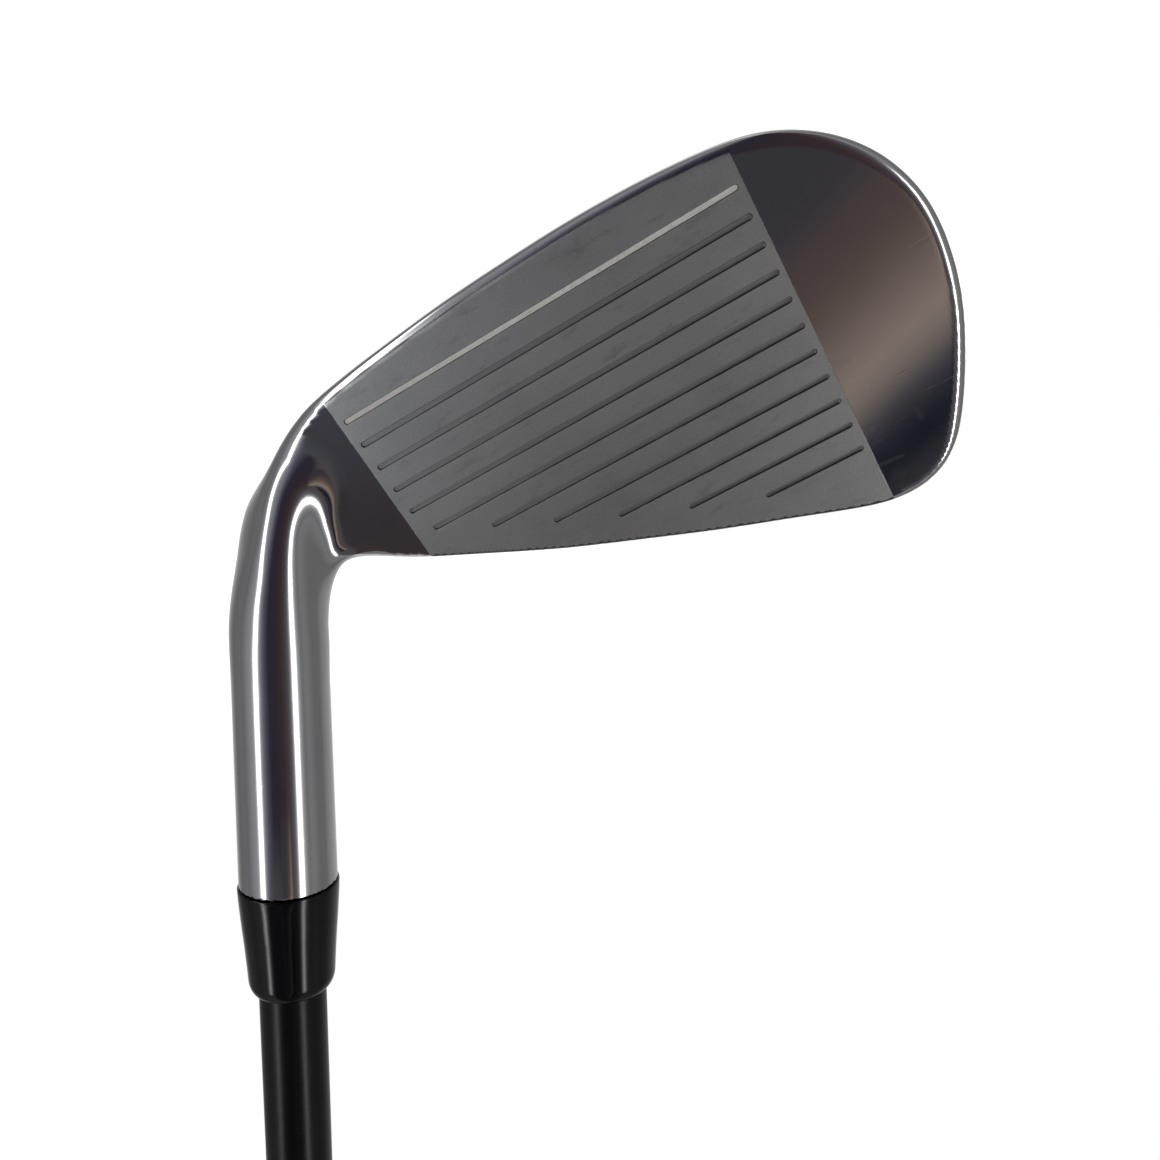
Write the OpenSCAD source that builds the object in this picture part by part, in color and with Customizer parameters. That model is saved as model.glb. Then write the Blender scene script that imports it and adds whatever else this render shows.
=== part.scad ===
// Mid iron golf club, right-handed, standing in its address position.
// +Z is up, +X runs from heel to toe, +Y points at the target.
// The origin is where the shaft axis meets the ground, which is the
// point that the club's length and lie angle are measured from.

/* [Head] */
// Loft: lean of the striking face back from the vertical, degrees
loft = 23.4; // [20:0.1:28]
// Lie: angle between the shaft and the ground, degrees
lie = 61.6; // [60:0.1:63]
// Distance between neighbouring score lines, mm
score_pitch = 3.6; // [3.4:0.1:3.8]
// Width of one score line at the face, mm
score_w = 0.85; // [0.6:0.05:0.9]
// Depth of one score line, mm
score_d = 0.45; // [0.3:0.05:0.5]
// Thickness of the striking face behind the cavity, mm
face_t = 2.6; // [2.2:0.1:3.2]

/* [Hosel and ferrule] */
// Height of the hosel's end along the shaft axis from the ground, mm
hosel_top = 65.7; // [62:0.1:70]
// Hosel radius at its upper end, mm
hosel_r = 6.85; // [6.6:0.05:7.2]
// Depth of the shaft bore in the hosel, mm
bore_depth = 32; // [28:1:34]
// Length of the ferrule, mm
ferrule_len = 17; // [14:1:22]

/* [Shaft and grip] */
// Outside diameter of the shaft's parallel tip, mm
tip_d = 9.4; // [9.3:0.1:9.5]
// Outside diameter of the shaft's butt, mm
butt_d = 15.2; // [14.8:0.1:15.6]
// Club length along the shaft axis, ground to grip cap, mm
club_len = 965; // [910:5:990]
// Length of the grip, mm
grip_len = 267; // [255:1:275]
// Grip diameter just below the cap, mm
grip_butt_d = 27.4; // [26.6:0.2:28.4]
// Grip diameter at its lower mouth, mm
grip_mouth_d = 18.6; // [18.2:0.2:20]
// Diameter of the vent hole in the grip cap, mm
vent_d = 4.6; // [4:0.2:5]

/* [Hidden] */
$fn = 64;
eps = 0.01;

// Heel end of the lowest score line, in club axes
face_o = [9.1, 3.3, 6.75];
// Number of score lines, and their length from heel to toe
score_n = 11;
score_x0 = 1.2;
score_x1 = 57;
// Start of each score line: the upper ones are cut short by the topline
score_heel = [1.2, 1.2, 1.2, 1.2, 1.2, 2.6, 9.7, 17.3, 25.2, 33.8, 43.3];

bore_bottom = hosel_top - bore_depth;
bond = 0.1;                    // epoxy film around the shaft tip
tip_r = tip_d / 2;
bore_r = tip_r + bond;
weight_head = 3;               // head of the tip weight, below the shaft
shaft_start = bore_bottom + weight_head;
cap_t = 5;                     // grip cap thickness at its middle
shaft_end = club_len - cap_t;
parallel_end = 165;            // end of the shaft's parallel tip section
tape_t = 0.3;
grip_start = club_len - grip_len;

// ---- helpers -------------------------------------------------------

// Places children in the face's own axes: x heel to toe, y out of the
// face, z up the face. The face is the plane y = 0.
module on_face() translate(face_o) rotate([loft, 0, 0]) children();

// Places children on the shaft axis: z runs from the ground to the grip.
module on_shaft() rotate([0, -(90 - lie), 0]) children();

// Extrudes an x-z outline on the face backwards, from y = y0 to y = y1
module slab(y0, y1) translate([0, y0, 0]) rotate([90, 0, 0])
    linear_extrude(height = y0 - y1) children();

// Catmull-Rom curve through points P with n steps between neighbours
function cr(a, b, c, d, t) = 0.5 * (2 * b + (c - a) * t
    + (2 * a - 5 * b + 4 * c - d) * t * t
    + (3 * b - a - 3 * c + d) * t * t * t);
function curve(P, n) = concat([for (i = [0 : len(P) - 2], k = [0 : n - 1])
    cr(P[max(i - 1, 0)], P[i], P[i + 1], P[min(i + 2, len(P) - 1)], k / n)],
    [P[len(P) - 1]]);
function loop(P, n) = let (m = len(P)) [for (i = [0 : m - 1], k = [0 : n - 1])
    cr(P[(i + m - 1) % m], P[i], P[(i + 1) % m], P[(i + 2) % m], k / n)];

// Shaft radius at a distance s along the axis
function shaft_r(s) = s <= parallel_end ? tip_r
    : tip_r + (butt_d / 2 - tip_r) * (s - parallel_end) / (shaft_end - parallel_end);
// Shaft wall: thick at the tip, thin at the butt
function wall(s) = 2.5 - 1.2 * min(1, max(0, (s - 80) / 700));
// Grip radius at a distance s along the axis
function grip_r(s) = let (u = (s - grip_start) / grip_len)
    grip_mouth_d / 2 + (grip_butt_d - grip_mouth_d) / 2 * pow(u, 1.35);

// ---- head outlines, on the face, x heel to toe and z up ------------

// Leading edge, toe and topline
blade_pts = [[3.5, -5], [12, -6], [21, -6.6], [30, -6.9], [38, -6.9],
    [46, -6.6], [52, -6], [57, -5.3], [61, -4.3], [65, -2.5], [68, -0.2],
    [71, 3], [73.3, 6.6], [75, 11], [75.4, 16], [75, 21.6], [74, 26.6],
    [72.4, 31.7], [70.4, 36.6], [68.5, 40.4], [66.3, 42.9], [63.5, 44.6],
    [60, 45.3], [56, 44.8], [52, 43.4], [45, 40.8], [36, 37.5],
    [26, 33.5], [16, 29.3], [6, 24.5], [-3, 20], [-11, 15.5]];
// Heel, from the hosel's outer side down to the leading edge
heel_pts = [[-31.3, 19], [-28.2, 14], [-24.3, 8.7], [-19.1, 3.9],
    [-13.4, 0], [-5, -3.4], [3.5, -5]];
// Cavity rim
cavity_pts = [[9, 11.6], [20, 10.8], [35, 10.4], [50, 10.8], [61, 12.6],
    [66.5, 17], [67.6, 23.5], [65.6, 31], [62.6, 36.6], [58.6, 38.8],
    [53, 37.8], [45, 34.8], [36, 31.4], [26, 27.4], [16, 23], [9, 19.6],
    [5.6, 17], [5.2, 13.6]];
// Badge plate, lying in the cavity floor
badge_pts = [[15, 13.4], [25, 12.6], [38, 12.4], [50, 12.8], [58, 14.4],
    [61.4, 18], [61.8, 22], [60, 26.5], [56.5, 29.4], [51, 29.6],
    [42, 27.6], [32, 25], [22, 21.6], [14.5, 18.6], [12.6, 16]];

// Blade thickness section: y runs out of the face, z up the face
blade_section = [[0, 60], [0, -4.7], [-0.4, -5.7], [-1.1, -6.3], [-2, -6.45],
    [-3.2, -5.95], [-7, -4.3], [-11, -2.3], [-14.4, -0.6], [-16.3, 0.9],
    [-17.3, 2.8], [-17.4, 6], [-16.6, 8.6], [-14.8, 10.6], [-12, 12],
    [-9.2, 13.4], [-7.4, 15.6], [-6.7, 18.5], [-6.4, 24], [-5.9, 60]];

// ---- head ----------------------------------------------------------

// Whole silhouette of the head as a prism through the face
module head_prism() {
    d = [-cos(lie), sin(lie) * cos(loft)];      // hosel direction on the face
    u = d / norm(d);
    p = [-u[1], u[0]];                          // outwards from the hosel
    c = [-12, 0];
    r = hosel_r + 0.6;
    slab(60, -30) polygon(concat(
        curve(heel_pts, 4),
        curve([for (i = [1 : len(blade_pts) - 1]) blade_pts[i]], 4),
        [c + 19 * u - (r + 1.5) * p, c + 90 * u - r * p, c + 90 * u + r * p,
         c + 24 * u + r * p]));
}

// The blade before its cavity: the section swept from heel to toe and
// cut to the outline, with the sole's long radius from heel to toe
module blade_blank() intersection() {
    on_face() {
        translate([-14, 0, 0]) rotate([90, 0, 90])
            linear_extrude(height = 100) polygon(blade_section);
    }
    translate([face_o[0] + 34, 60, 215]) rotate([90, 0, 0])
        cylinder(r = 215, h = 120, $fn = 720);
}

// Neck between the heel of the blade and the straight hosel
module neck() hull() {
    on_shaft() translate([0, 0, 13]) cylinder(r = 6.5, h = 14, $fn = 32);
    on_face() {
        translate([-1, -1.2, -4.2]) cube([3.5, 1.2, 23]);
        translate([-4, -13, 1.2]) cube([4, 12, 3]);
        translate([-3, -6.2, 8]) cube([4, 5, 10]);
    }
}

module score_slot(i, w0, w1, y0, y1) {
    x0 = score_heel[i];
    z = i * score_pitch;
    // straight flanks from width w0 at y0 to width w1 at y1
    translate([x0 + w1 / 2, 0, z]) rotate([90, 0, 90])
        linear_extrude(height = score_x1 - x0 - w1)
            polygon([[y0, -w0 / 2], [y0, w0 / 2], [y1, w1 / 2], [y1, -w1 / 2]]);
    for (x = [x0 + w1 / 2, score_x1 - w1 / 2])
        translate([x, y0, z]) rotate([-90, 0, 0])
            cylinder(r1 = w0 / 2, r2 = w1 / 2, h = y1 - y0, $fn = 24);
}

module iron_head() color([0.47, 0.47, 0.46]) difference() {
    intersection() {
        union() {
            blade_blank();
            neck();
            on_shaft() translate([0, 0, 8])
                cylinder(r1 = 6.4, r2 = hosel_r, h = hosel_top - 8, $fn = 96);
        }
        on_face() head_prism();
    }
    // shaft bore
    on_shaft() translate([0, 0, bore_bottom])
        cylinder(r = bore_r, h = bore_depth + 1);
    on_face() {
        // open cavity in the back, and the undercut slot below it
        slab(-face_t, -30) polygon(loop(cavity_pts, 4));
        translate([12, -9.2, 4.4]) cube([46, 5.2, 12]);
        // toe weight's seat
        translate([63, -30, 5.6]) rotate([-90, 0, 0])
            cylinder(r = 4.5, h = 30 - 8.6);
        // score lines
        for (i = [0 : score_n - 1])
            score_slot(i, score_w * 0.6, score_w, -score_d, 0.001);
    }
}

// Paint lying in the bottom of the lowest score line
module scoreline_paint() color([0.93, 0.93, 0.88]) on_face()
    score_slot(0, score_w * 0.6, score_w * 0.87, -score_d, -score_d * 0.33);

// Damper pressed into the undercut slot, with a lip that stands above it
module cavity_damper() color([0.09, 0.09, 0.1]) on_face() {
    translate([12, -9.2, 4.4]) cube([46, 5.2, 5.4]);
}

module badge_tape() color([0.75, 0.74, 0.7]) on_face()
    slab(-face_t, -face_t - 0.3) polygon(loop(badge_pts, 4));

module badge_backing() color([0.12, 0.12, 0.13]) on_face()
    slab(-face_t - 0.3, -face_t - 1.5) polygon(loop(badge_pts, 4));

module cavity_badge() color([0.55, 0.56, 0.58]) on_face()
    slab(-face_t - 1.5, -face_t - 2.5)
        translate([37.5, 20]) scale([0.94, 0.88]) translate([-37.5, -20])
            polygon(loop(badge_pts, 4));

// Dense plug pressed into the toe end of the muscle, with a hex recess
module toe_weight() color([0.33, 0.33, 0.35]) on_face() difference() {
    translate([63, -16.6, 5.6]) rotate([-90, 0, 0]) cylinder(r = 4.5, h = 8);
    translate([63, -17.6, 5.6]) rotate([-90, 0, 0])
        cylinder(r = 2.2, h = 3, $fn = 6);
}

// ---- shaft, its weight and its bond --------------------------------

// Weight at the tip: a stem inside the shaft and a head under its end
module tip_weight() color([0.78, 0.62, 0.3]) on_shaft() {
    translate([0, 0, bore_bottom]) cylinder(r = tip_r, h = weight_head);
    translate([0, 0, shaft_start - eps]) cylinder(r = tip_r - wall(0), h = 22);
}

module hosel_epoxy() color([0.7, 0.68, 0.5]) on_shaft()
    translate([0, 0, bore_bottom]) difference() {
        cylinder(r = bore_r, h = bore_depth);
        translate([0, 0, -1]) cylinder(r = tip_r, h = bore_depth + 2);
    }

module ferrule() color([0.02, 0.02, 0.02]) on_shaft()
    translate([0, 0, hosel_top]) rotate_extrude($fn = 96)
        polygon([[tip_r, 0], [hosel_r + 0.1, 0], [hosel_r + 0.2, 0.3],
            [hosel_r + 0.2, 1.2], [hosel_r + 0.05, 1.9], [hosel_r - 0.1, 4],
            [hosel_r - 0.4, ferrule_len - 9], [hosel_r - 0.75, ferrule_len - 3],
            [hosel_r - 0.95, ferrule_len - 2], [hosel_r - 1.35, ferrule_len - 0.9],
            [hosel_r - 1.9, ferrule_len - 0.2], [tip_r, ferrule_len]]);

module shaft() color([0.05, 0.05, 0.055]) on_shaft() {
    S = [shaft_start, 80, parallel_end, 350, 550, 780, shaft_end];
    n = len(S) - 1;
    rotate_extrude($fn = 96) polygon(concat(
        [for (i = [0 : n]) [shaft_r(S[i]), S[i]]],
        [for (i = [n : -1 : 0]) [shaft_r(S[i]) - wall(S[i]), S[i]]]));
}

module grip_tape() color([0.86, 0.84, 0.78]) on_shaft() {
    s0 = grip_start + 6;
    rotate_extrude($fn = 96) polygon([[shaft_r(s0), s0],
        [shaft_r(s0) + tape_t, s0],
        [shaft_r(shaft_end) + tape_t, shaft_end],
        [shaft_r(shaft_end), shaft_end]]);
}

// ---- grip ----------------------------------------------------------

module grip_sleeve() color([0.06, 0.06, 0.065]) on_shaft() {
    n = 12;
    s0 = grip_start + 6;
    rotate_extrude($fn = 96) polygon(concat(
        [[shaft_r(grip_start), grip_start],
         [grip_r(grip_start) - 1, grip_start],
         [grip_r(grip_start), grip_start + 1.2]],
        [for (i = [1 : n]) let (s = grip_start + grip_len * 0.985 * i / n)
            [grip_r(s), s]],
        [[grip_butt_d / 2 - 0.6, club_len - cap_t],
         [shaft_r(shaft_end) + tape_t, shaft_end],
         [shaft_r(s0) + tape_t, s0], [shaft_r(s0), s0]]));
}

// Cap over the shaft's end: a domed disc with a vent hole
module grip_cap() color([0.16, 0.16, 0.17]) on_shaft()
    translate([0, 0, club_len - cap_t]) difference() {
        rotate_extrude($fn = 96) polygon([[0, 0], [grip_butt_d / 2 - 0.6, 0],
            [grip_butt_d / 2 - 0.3, 0.8], [grip_butt_d / 2 - 0.8, 2.2],
            [grip_butt_d / 2 - 2.2, 3.6], [grip_butt_d / 2 - 4.4, 4.5],
            [grip_butt_d / 2 - 7, 5], [0, 5]]);
        translate([0, 0, -1]) cylinder(r = vent_d / 2, h = cap_t + 2);
    }

iron_head();
scoreline_paint();
cavity_badge();
badge_backing();
badge_tape();
cavity_damper();
toe_weight();
tip_weight();
hosel_epoxy();
ferrule();
shaft();
grip_tape();
grip_sleeve();
grip_cap();
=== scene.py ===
"""Mid iron golf club: surfaces, materials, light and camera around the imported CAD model."""
import bpy
import numpy as np
from math import radians, sin, cos, tan, pi, sqrt, atan2
from mathutils import Vector, Matrix
from mathutils.geometry import delaunay_2d_cdt


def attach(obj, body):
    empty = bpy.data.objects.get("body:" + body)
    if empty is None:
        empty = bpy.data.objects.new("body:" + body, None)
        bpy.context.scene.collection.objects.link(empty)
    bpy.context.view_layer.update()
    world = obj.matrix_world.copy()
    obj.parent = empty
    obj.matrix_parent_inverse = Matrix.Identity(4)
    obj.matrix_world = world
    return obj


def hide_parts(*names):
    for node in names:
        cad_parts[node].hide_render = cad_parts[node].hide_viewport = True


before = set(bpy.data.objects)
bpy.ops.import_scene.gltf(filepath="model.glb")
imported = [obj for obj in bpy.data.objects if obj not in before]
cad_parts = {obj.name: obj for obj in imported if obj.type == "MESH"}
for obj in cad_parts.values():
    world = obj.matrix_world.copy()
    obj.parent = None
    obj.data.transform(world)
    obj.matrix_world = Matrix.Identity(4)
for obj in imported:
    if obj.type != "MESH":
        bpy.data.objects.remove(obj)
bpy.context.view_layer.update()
MM = 0.001

# ------------------------------------------------------------------ axes
LOFT, LIE = radians(23.4), radians(61.6)
SL, CL, TL = sin(LOFT), cos(LOFT), tan(LOFT)
F0 = np.array([9.1, 3.3, 6.75])             # heel end of the lowest score line
AX = np.array([-cos(LIE), 0.0, sin(LIE)])   # up the shaft
EX = np.array([sin(LIE), 0.0, cos(LIE)])    # across the shaft, towards the toe
HOSEL_TOP = 65.7
CLUB = 965.0
FACE_T = 2.6


def to_club(P):
    """face axes (x heel to toe, y out of the face, z up it) to club axes, mm"""
    x, y, z = P[..., 0], P[..., 1], P[..., 2]
    return np.stack([F0[0] + x, F0[1] + CL * y - SL * z, F0[2] + SL * y + CL * z], -1)


def to_face(P):
    x, y, z = P[..., 0] - F0[0], P[..., 1] - F0[1], P[..., 2] - F0[2]
    return np.stack([x, CL * y + SL * z, -SL * y + CL * z], -1)


def dir_club(N):
    x, y, z = N[..., 0], N[..., 1], N[..., 2]
    return np.stack([x, CL * y - SL * z, SL * y + CL * z], -1)


# ------------------------------------------------------------- curve tools
def curve(P, n, closed=False):
    P = np.array(P, float)
    m = len(P)
    out = []
    for i in range(m if closed else m - 1):
        if closed:
            a, b, c, d = P[(i - 1) % m], P[i], P[(i + 1) % m], P[(i + 2) % m]
        else:
            a, b, c, d = P[max(i - 1, 0)], P[i], P[i + 1], P[min(i + 2, m - 1)]
        for k in range(n):
            t = k / n
            out.append(0.5 * (2 * b + (c - a) * t + (2 * a - 5 * b + 4 * c - d) * t * t + (3 * b - a - 3 * c + d) * t ** 3))
    if not closed:
        out.append(P[-1])
    return np.array(out)


def smooth_closed(P, it, lam=0.5):
    P = P.copy()
    for _ in range(it):
        P = P + lam * (0.5 * (np.roll(P, 1, 0) + np.roll(P, -1, 0)) - P)
    return P


def resample(P, step):
    Q = np.vstack([P, P[:1]])
    s = np.r_[0, np.cumsum(np.linalg.norm(np.diff(Q, axis=0), axis=1))]
    n = int(round(s[-1] / step))
    t = np.arange(n) * s[-1] / n
    return np.stack([np.interp(t, s, Q[:, 0]), np.interp(t, s, Q[:, 1])], 1)


def sd_poly(P, X, Z):
    """signed distance to the closed polygon P, negative inside"""
    d2 = np.full(X.shape, 1e18)
    ins = np.zeros(X.shape, bool)
    n = len(P)
    for i in range(n):
        a = P[i]
        b = P[(i + 1) % n]
        e = b - a
        wx = X - a[0]
        wz = Z - a[1]
        t = np.clip((wx * e[0] + wz * e[1]) / (e @ e), 0, 1)
        dx = wx - e[0] * t
        dz = wz - e[1] * t
        d2 = np.minimum(d2, dx * dx + dz * dz)
        c = (a[1] > Z) != (b[1] > Z)
        if e[1] != 0:
            ins ^= c & (X < a[0] + (Z - a[1]) * e[0] / e[1])
    d = np.sqrt(d2)
    return np.where(ins, -d, d)


class Grid2:
    """a 2-D field sampled on a grid and read back with cubic interpolation"""

    def __init__(s, poly, x0, x1, z0, z1, h):
        s.x0, s.z0, s.h = x0, z0, h
        X, Z = np.meshgrid(np.arange(x0, x1 + h, h), np.arange(z0, z1 + h, h), indexing="ij")
        s.F = sd_poly(poly, X, Z)

    def __call__(s, x, z):
        u = (x - s.x0) / s.h
        v = (z - s.z0) / s.h
        nx, nz = s.F.shape
        u = np.clip(u, 1.001, nx - 3.001)
        v = np.clip(v, 1.001, nz - 3.001)
        i = np.floor(u).astype(np.int32)
        j = np.floor(v).astype(np.int32)

        def w(t):
            return (((-t + 2) * t - 1) * t * 0.5, ((3 * t - 5) * t * t + 2) * 0.5, ((-3 * t + 4) * t + 1) * t * 0.5, ((t - 1) * t * t) * 0.5)
        wu = w(u - i)
        wv = w(v - j)
        r = 0
        for a in range(4):
            c = 0
            for b in range(4):
                c = c + wv[b] * s.F[i + a - 1, j + b - 1]
            r = r + wu[a] * c
        return r


def smin(a, b, k):
    h = np.maximum(k - np.abs(a - b), 0) / k
    return np.minimum(a, b) - h * h * h * k / 6


def rmax(a, b, r):
    """intersection whose edge is rounded to radius r"""
    return np.minimum(-r, np.maximum(a, b)) + np.hypot(np.maximum(a + r, 0), np.maximum(b + r, 0))


def sstep(e0, e1, x):
    t = np.clip((x - e0) / (e1 - e0), 0, 1)
    return t * t * t * (t * (6 * t - 15) + 10)


# ------------------------------------------------------- the head as a field
BLADE = [[3.4, -5.2], [12, -6.0], [21, -6.65], [30, -6.9], [38, -6.95], [46, -6.6], [52, -6.05],
         [57.2, -5.3], [61.2, -4.3], [64.8, -2.5], [68.0, -0.2], [70.9, 2.9], [73.3, 6.6], [74.9, 10.9],
         [75.4, 16], [75.1, 21.6], [74.1, 26.6], [72.4, 31.7], [70.4, 36.6], [68.5, 40.4], [66.3, 42.9],
         [63.5, 44.6], [60, 45.3], [56.2, 44.8], [51.9, 43.4], [44.9, 40.8], [35.8, 37.5], [25.9, 33.5],
         [15.8, 29.3], [5.9, 24.5], [-3.2, 20.0], [-11, 15.5]]
HEEL = [[-16, 14.5], [-19, 12], [-20, 8.4], [-17.6, 4.2], [-12.4, 0.1], [-5, -3.7]]
CAV = [[9, 11.6], [20, 10.8], [35, 10.4], [50, 10.8], [61, 12.6], [66.5, 17], [67.6, 23.5], [65.6, 31],
       [62.6, 36.6], [58.6, 38.8], [53, 37.8], [45, 34.8], [36, 31.4], [26, 27.4], [16, 23], [9, 19.6],
       [5.6, 17], [5.2, 13.6]]
G = Grid2(resample(smooth_closed(resample(curve(BLADE + HEEL, 12, True), 0.5), 40), 0.35), -60, 96, -30, 72, 0.25)
GC = Grid2(resample(smooth_closed(resample(curve(CAV, 10, True), 0.5), 10), 0.35), -10, 85, 0, 52, 0.25)


def hosel_r(s):
    return 6.55 + 0.29 * np.clip((s - 30) / 36, 0, 1)


def axis_pt(s):
    q = to_face(AX * s)
    return [q[0], q[1], q[2]]


# The neck: a main tube from the hosel into the heel, and a slimmer one in front of it that runs out into the leading
# edge as a ridge. Each point is a centre and a radius.
EYE = to_face(np.array([59.9, 118.0, 35.9]))


def shifted(base, back, left, r):
    b = np.array(base[:3], float)
    v = EYE - b
    b = b - v / np.linalg.norm(v) * back + np.array([-.86, .025, -.51]) * left
    return [b[0], b[1], b[2], r]


NB = [axis_pt(46), axis_pt(40), axis_pt(36), axis_pt(32), axis_pt(28), [-19.5, 2.5, 14.2], [-15.3, 0.0, 9.6], [-10.2, -3.4, 5.7], [-4.0, -7.4, 3.8]]
NECK = [shifted(NB[0], 0, 0, 6.68), shifted(NB[1], 0, 0, 6.63), shifted(NB[2], .05, 0, 6.6), shifted(NB[3], .3, -.05, 6.52),
        shifted(NB[4], .8, -.1, 6.42), shifted(NB[5], 1.6, 0, 6.45), shifted(NB[6], 2.6, 0, 6.35), shifted(NB[7], 3.2, 0, 5.95), shifted(NB[8], 2.0, 0, 5.2)]
RIDGE = [shifted(NB[0], 0, 0, 6.3), shifted(NB[1], 0, 0, 6.4), shifted(NB[2], -.15, 0, 6.36), shifted(NB[3], -.5, 0, 5.92),
         shifted(NB[4], -1.15, 0, 5.2), shifted(NB[5], -1.95, .5, 4.35), shifted(NB[6], -2.5, 1.2, 3.4), [-9.8, -1.9, 2.6, 2.8],
         [-4.4, -3.0, -.6, 2.0], [3.4, -3.2, -2.0, 1.2]]


def sweep(C):
    c = curve(C, 12)
    s = np.r_[0, np.cumsum(np.linalg.norm(np.diff(c[:, :3], axis=0), axis=1))]
    t = np.linspace(0, s[-1], int(s[-1] / 0.45))
    return np.stack([np.interp(t, s, c[:, k]) for k in range(4)], 1)


NL, RL = sweep(NECK), sweep(RIDGE)


def tube(p, L):
    """distance to spheres swept along L, refined between the samples with a parabola"""
    out = np.empty(len(p))
    for i0 in range(0, len(p), 40000):
        q = p[i0:i0 + 40000]
        D = np.sqrt(((q[:, None, :] - L[None, :, :3]) ** 2).sum(-1)) - L[None, :, 3]
        j = np.clip(D.argmin(1), 1, len(L) - 2)
        k = np.arange(len(q))
        a, m, c = D[k, j - 1], D[k, j], D[k, j + 1]
        den = a - 2 * m + c
        u = np.clip(0.5 * (a - c) / np.where(np.abs(den) < 1e-9, 1e-9, den), -1, 1)
        out[i0:i0 + 40000] = m - 0.25 * (a - c) * u
    return out


def hosel_field(Pc, P):
    s = Pc @ AX
    q = Pc - s[..., None] * AX
    rr = np.sqrt((q ** 2).sum(-1))
    d = rr - hosel_r(s)
    neck = np.full(d.shape, 60.0)
    near = (s < 48) & (P[..., 0] < 14)
    p = P[near].reshape(-1, 3)
    if len(p):
        kr = 0.05 + 3.95 * sstep(40, 24, s[near])
        neck[near] = smin(tube(p, NL), tube(p, RL), kr)
    w = sstep(44, 31, s)
    return d * (1 - w) + neck * w, s, rr


def lift(yc):
    """front-to-back curve of the sole"""
    u = yc + 2.0
    return np.where(u > 0, u * u * 0.0052 - 0.35, u * u / 90.0 - 0.35)


def blade_field(P):
    x, y, z = P[..., 0], P[..., 1], P[..., 2]
    yc = F0[1] + CL * y - SL * np.minimum(z, 8.0)
    gn = G(x, z)
    z0 = z + TL * np.minimum(y, 0.0)
    gt = G(x, z0 - lift(yc) / CL * sstep(12, 2, z0)) / np.hypot(1.0, TL * sstep(10, -2, z0))
    o = np.maximum(gn, gt)
    ztop = 22.0 + 0.42 * x
    rf = 0.6 + 1.2 * sstep(3.0, 14.0, ztop - z) - 0.45 * sstep(2, 18, z) * sstep(3.0, 14.0, ztop - z)
    rf = rf + 0.8 * sstep(2.0, -12.0, x)
    front = rmax(o, y, rf)
    tb = 6.3 + 11.0 * sstep(17.0, 8.0, z) - 0.010 * np.maximum(z - 20, 0)
    th = 10.6 - 0.43 * z
    w = sstep(8.0, -11.0, x)
    t = tb * (1 - w) + th * w
    t = t - 1.5 * sstep(58, 76, x) * sstep(14, 4, z)
    slope = np.where((z > 8) & (z < 17) & (x > 0), 11.0 / 9 * 1.5, 0.0)
    back = (-y - t) / np.sqrt(1 + 0.35 * slope ** 2)
    return rmax(front, back, 1.6 + 0 * x)


def head_field(P):
    Pc = to_club(P)
    x, y, z = P[..., 0], P[..., 1], P[..., 2]
    b = blade_field(P)
    h, s, rr = hosel_field(Pc, P)
    k = (1.5 + 4.5 * sstep(-1, 4, z) - 2.5 * sstep(5, 11, z) + 4.0 * sstep(12, 18, z)) * (0.4 + 0.6 * sstep(0.3, -6.5, x))
    f = smin(b, h, k)
    f = rmax(f, s - HOSEL_TOP, 0.35)
    cav = rmax(GC(x, z) - 0.10 * np.maximum(-y - FACE_T, 0), y + FACE_T, 1.2)
    # undercut slot below the cavity
    qx, qy, qz = np.abs(x - 35) - 23.0, np.abs(y + 6.6) - 2.6, np.abs(z - 10.4) - 6.0
    slot = np.maximum(np.maximum(qx, qy), qz)
    f = rmax(f, -np.minimum(cav, slot), 0.7)
    # seat of the toe weight, with a rounded rim
    rw = np.hypot(x - 63, z - 5.6)
    seat = np.maximum(rw - 4.5, y + 8.6)
    f = rmax(f, -seat, 0.3)
    # shaft bore
    f = rmax(f, -np.maximum(rr - 4.8, 33.7 - s), 0.25)
    return f


def gradient(field, v, e=0.04):
    g = np.empty_like(v)
    for a in range(3):
        d = np.zeros(3)
        d[a] = e
        g[:, a] = (field(v + d) - field(v - d)) / (2 * e)
    return g


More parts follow.
